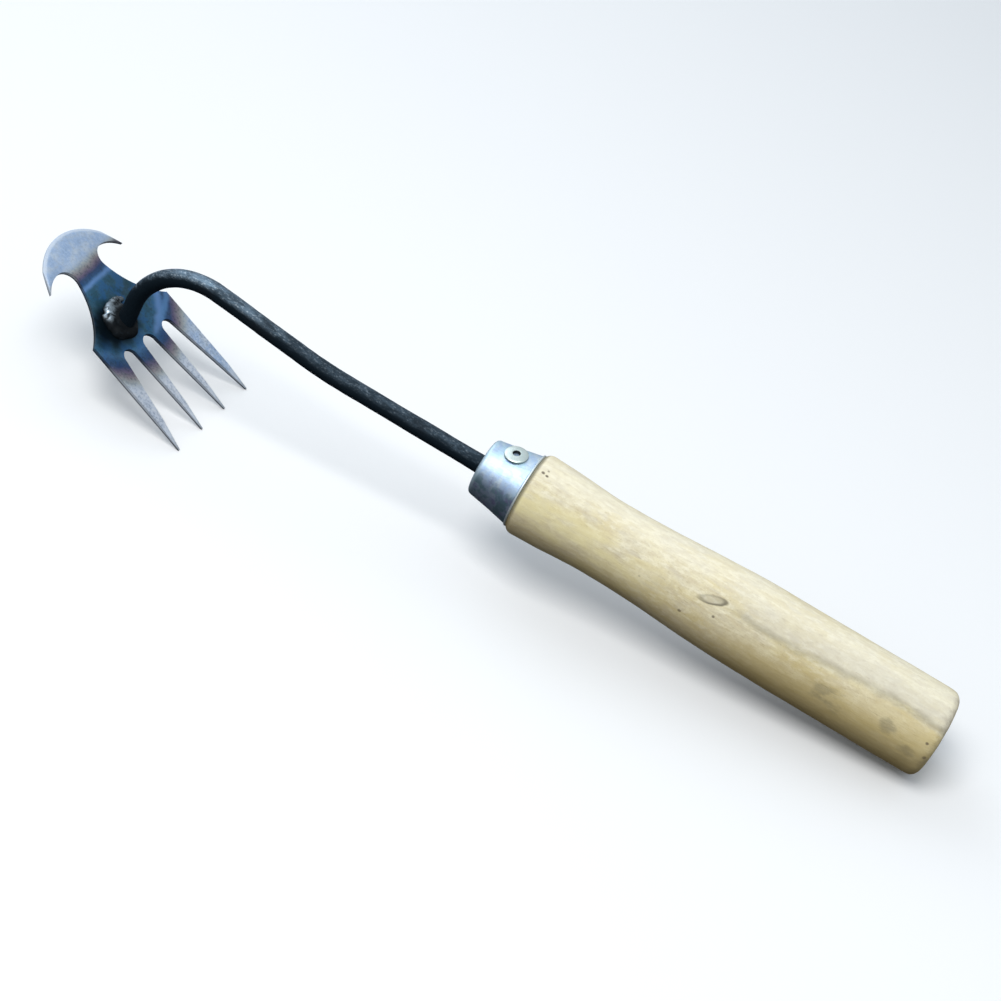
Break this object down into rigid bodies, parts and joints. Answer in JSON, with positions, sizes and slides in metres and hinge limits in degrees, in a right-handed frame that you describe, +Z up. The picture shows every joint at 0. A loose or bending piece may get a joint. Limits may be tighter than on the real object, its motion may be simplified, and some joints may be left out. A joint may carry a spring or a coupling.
{
  "type": "hand rake",
  "caption": "Short hand rake: steel head with back-pointing tines and a forward crescent hoe blade, welded to an arched rod set in a turned wooden handle with a riveted ferrule.",
  "frame": {"origin": "on the ground, under the middle of the box that holds the tool as it lies on its tine tips and the lower edge of its butt", "axes": "+X from the crescent blade to the butt, +Y across the head, +Z up"},
  "size_m": [0.3334, 0.046, 0.0562],
  "materials": {
    "head_steel": "bare sheet, satin, with temper colours from straw through violet to deep blue round the weld",
    "weld_metal": "as welded, lumpy, part glossy and part sooty",
    "rod_steel": "black mill scale, slightly uneven",
    "ferrule_zinc": "zinc plated, soft gloss",
    "handle_wood": "raw, sanded, unvarnished pale wood",
    "rivet_alloy": "plain, satin",
    "mandrel_steel": "broken end, dark"
  },
  "bodies": {
    "root": {"rake_head": "head_steel", "weld_bead": "weld_metal", "shank": "rod_steel", "ferrule": "ferrule_zinc", "handle": "handle_wood", "rivet_body": "rivet_alloy", "rivet_mandrel": "mandrel_steel"}
  },
  "joints": []
}
